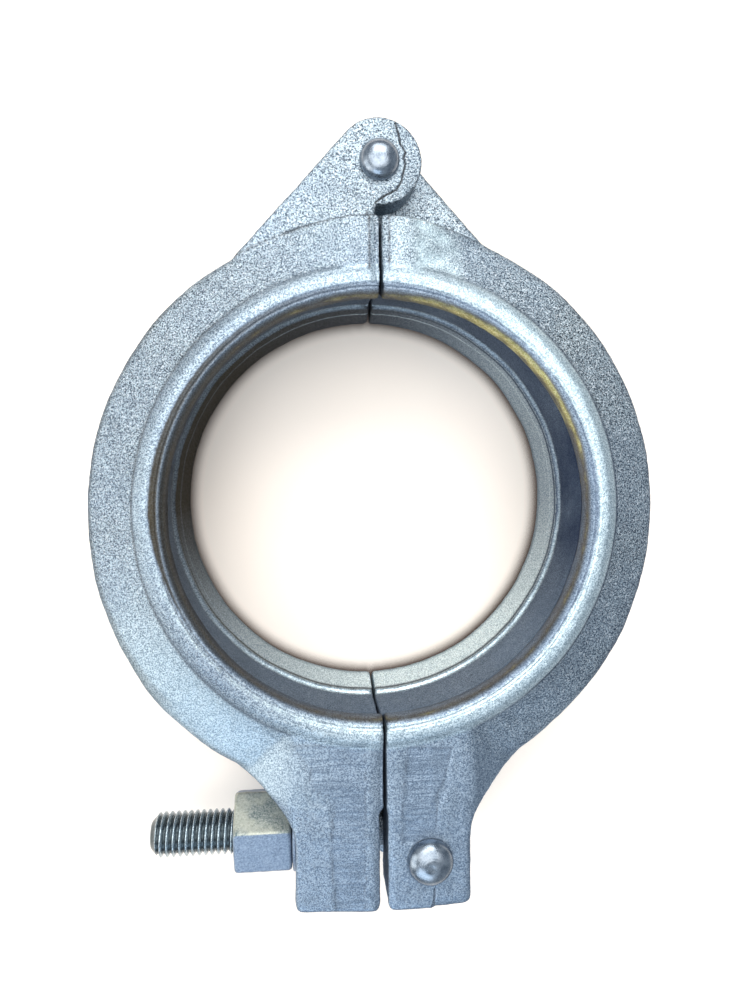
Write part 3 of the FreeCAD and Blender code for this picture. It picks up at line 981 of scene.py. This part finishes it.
def hexagon_nut(material):
    """Hexagon nut with softened corners and countersunk thread."""
    piece = copy_of("nut", "nut_hexagon")
    remesh(piece, NUT_VOXEL)
    relax(piece, 22)
    places, normals = points_of(piece)
    mouth, deepest, near_end = 9.4, 1.4, 1.2
    reach = np.hypot(places[:, 1] - PIVOT.y, places[:, 2])
    sink = np.clip(mouth - reach, 0, deepest)
    places[:, 0] += sink * (places[:, 0] < NUT_OUTER + near_end)
    places[:, 0] -= sink * (places[:, 0] > NUT_INNER - near_end)
    relief = 0.07 * ripple(places, 7.0, 31) + 0.02 * ripple(places, 1.8, 32)
    relief[reach < mouth + 0.2] = 0
    move_points(piece, places + normals * relief[:, None])
    shade(piece)
    # upper facets that get the painted reflection
    upper = step_up(normals[:, 1], 0.0, 0.25) * (places[:, 2] > 0)
    store(piece, "upper_facet_reflection", upper)
    piece.data.materials.append(material)
    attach(piece, "nut")
    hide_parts("nut")
    return piece


def plain_washer(material):
    """Stamped washer with softened rims."""
    low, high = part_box("washer")
    thick, outer = (high.x - low.x) / MM, (high.y - low.y) / 2 / MM
    bore, soft = 8.75, 0.35
    profile = [(bore, soft), (bore + soft, 0), (outer - soft * 2, 0),
               (outer - soft * 0.5, soft * 0.6), (outer, thick / 2),
               (outer - soft * 0.5, thick - soft * 0.6),
               (outer - soft * 2, thick), (bore + soft, thick),
               (bore, thick - soft), (bore, soft)]
    centre = Vector((low.x / MM, PIVOT.y, 0))
    piece = lathe("washer_disc", profile, centre, axis="X")
    work = bmesh.new()
    work.from_mesh(piece.data)
    weld(work)
    bmesh.ops.recalc_face_normals(work, faces=work.faces)
    work.to_mesh(piece.data)
    work.free()
    store(piece, "upper_facet_reflection", np.zeros(len(piece.data.vertices)))
    piece.data.materials.append(material)
    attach(piece, "washer")
    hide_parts("washer")
    return piece


# ---------------------------------------------------------------- the set

def area_light(name, place, target, size, power, colour):
    """Soft square lamp aimed at a point."""
    data = bpy.data.lights.new(name, "AREA")
    data.shape = "RECTANGLE"
    data.size, data.size_y = size
    data.energy = power
    data.color = colour
    lamp = bpy.data.objects.new(name, data)
    bpy.context.scene.collection.objects.link(lamp)
    lamp.location = place
    way = Vector(target) - Vector(place)
    lamp.rotation_euler = way.to_track_quat("-Z", "Y").to_euler()


def lamps():
    """Ceiling, window, back and front lamps."""
    area_light("ceiling", place=(-0.08, 0.25, 1.10), target=(0, 0.05, 0),
               size=(1.35, 1.3), power=15.0, colour=(1.0, 1.0, 0.97))
    area_light("window", place=(-0.95, -0.25, 0.50), target=(0, 0, 0),
               size=(0.9, 0.7), power=5.2, colour=(1.0, 1.0, 0.95))
    area_light("back", place=(0.05, 1.00, 0.90), target=(0, 0.05, 0),
               size=(0.9, 0.7), power=9.0, colour=(1.0, 1.0, 0.97))
    area_light("front", place=(-0.22, -0.98, 0.75), target=(0, -0.08, 0),
               size=(0.8, 0.6), power=4.6, colour=(0.69, 0.82, 0.94))


def floor_plane():
    """Pale floor just under the object."""
    mesh = bpy.data.meshes.new("floor")
    reach, gap = 2.0, 0.0001
    corners = [(-reach, -reach), (reach, -reach), (reach, reach), (-reach, reach)]
    mesh.from_pydata([(x, y, FLOOR_Z - gap) for x, y in corners], [],
                     [(0, 1, 2, 3)])
    floor = add_piece("floor", mesh)
    mesh.materials.append(pale_floor())


def surroundings():
    """Pale blue light from all around, and plain screen colours."""
    world = bpy.data.worlds.new("surroundings")
    world.use_nodes = True
    background = world.node_tree.nodes["Background"]
    background.inputs["Color"].default_value = (0.72, 0.86, 1.0, 1.0)
    background.inputs["Strength"].default_value = 0.45
    scene = bpy.context.scene
    scene.world = world
    scene.view_settings.view_transform = "Standard"


def camera_above():
    """Camera above the clamp, a little to the left and towards the hinge."""
    lens = bpy.data.cameras.new("camera")
    lens.lens = 27.0
    lens.clip_start = 0.01
    camera = bpy.data.objects.new("camera", lens)
    bpy.context.scene.collection.objects.link(camera)
    camera.location = Vector((-24.81, 21.34, 273.90)) * MM
    camera.rotation_euler = [math.radians(a) for a in (-3.983, -5.319, -0.506)]
    bpy.context.scene.camera = camera


forged = forged_zinc()
smooth = rivet_zinc()
plated = nut_zinc()
forged_half("left_half", -1, forged)
forged_half("right_half", 1, forged)
rivet("hinge_pin", "left_half", HINGE, smooth, seat=EAR_FACE, shank=5.0,
      head=6.7, rise=5.0, fall=3.0)
rivet("bolt_pin", "right_half", PIVOT, smooth, seat=LUG_FACE, shank=6.0,
      head=8.0, rise=5.2, fall=1.4, dimple=2.6)
bolt_thread(thread_zinc())
bolt_forging(forged)
hexagon_nut(plated)
plain_washer(plated)
floor_plane()
lamps()
surroundings()
camera_above()
